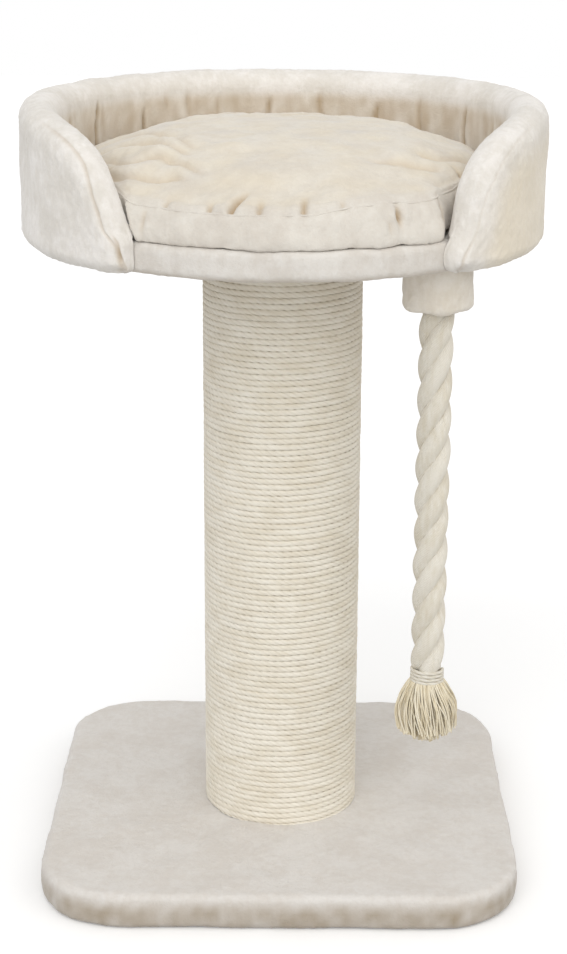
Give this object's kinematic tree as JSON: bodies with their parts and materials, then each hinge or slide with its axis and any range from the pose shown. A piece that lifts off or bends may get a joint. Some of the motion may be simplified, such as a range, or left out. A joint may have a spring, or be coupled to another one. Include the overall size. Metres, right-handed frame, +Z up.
{
  "type": "cat scratching post",
  "caption": "Square plush base, sisal-wound post and round padded bed with a raised wall open at the front, a loose cushion and a thick play rope hanging from a round block.",
  "frame": {"origin": "on the floor, under the middle of the square base", "axes": "+Z up along the post; -Y is the front, where the bed wall is open; +X is the right, where the rope hangs"},
  "size_m": [0.639, 0.6098, 0.973],
  "materials": {
    "plush": "short off-white plush pile with a soft sheen",
    "sisal": "bleached two-ply sisal rope, matte and fibrous",
    "cotton": "natural twisted cotton rope",
    "board": "raw particle board",
    "cardboard": "spiral-wound cardboard",
    "foam": "soft padding",
    "steel": "zinc-plated"
  },
  "bodies": {
    "root": {"base_board": "board", "base_cover": "plush", "post_tube": "cardboard", "post_bottom_disc": "board", "post_top_disc": "board", "sisal_winding": "sisal", "base_bolt_1": "steel", "base_bolt_2": "steel", "base_bolt_3": "steel", "base_washer_1": "steel", "base_washer_2": "steel", "base_washer_3": "steel", "base_tee_nut_1": "steel", "base_tee_nut_2": "steel", "base_tee_nut_3": "steel", "platform_board": "board", "platform_cover": "plush", "platform_bolt_1": "steel", "platform_bolt_2": "steel", "platform_bolt_3": "steel", "platform_washer_1": "steel", "platform_washer_2": "steel", "platform_washer_3": "steel", "platform_tee_nut_1": "steel", "platform_tee_nut_2": "steel", "platform_tee_nut_3": "steel", "wall_board": "board", "wall_foam": "foam", "wall_cover": "plush", "wall_screw_1": "steel", "wall_screw_2": "steel", "wall_screw_3": "steel", "wall_screw_4": "steel", "wall_screw_5": "steel", "rope_block": "board", "rope_block_cover": "plush", "rope_block_screw_1": "steel", "rope_block_screw_2": "steel", "rope_root": "cotton", "rope_pin": "board"},
    "cushion": {"cushion_cover": "plush", "cushion_filling": "foam"},
    "rope_neck": {"rope_neck": "cotton"},
    "rope": {"rope": "cotton", "rope_binding": "cotton", "rope_tassel": "cotton"}
  },
  "joints": [
    {"name": "cushion_lift", "type": "slide", "parent": "root", "child": "cushion", "axis": [0, 0, 1], "range_m": [0, 0.25]},
    {"name": "rope_swing_sideways", "type": "hinge", "parent": "root", "child": "rope_neck", "pos_m": [0.183, -0.15, 0.719], "axis": [0, -1, 0], "range_deg": [-5, 35]},
    {"name": "rope_swing_fore_aft", "type": "hinge", "parent": "rope_neck", "child": "rope", "pos_m": [0.183, -0.15, 0.648], "axis": [1, 0, 0], "range_deg": [-35, 35]}
  ]
}
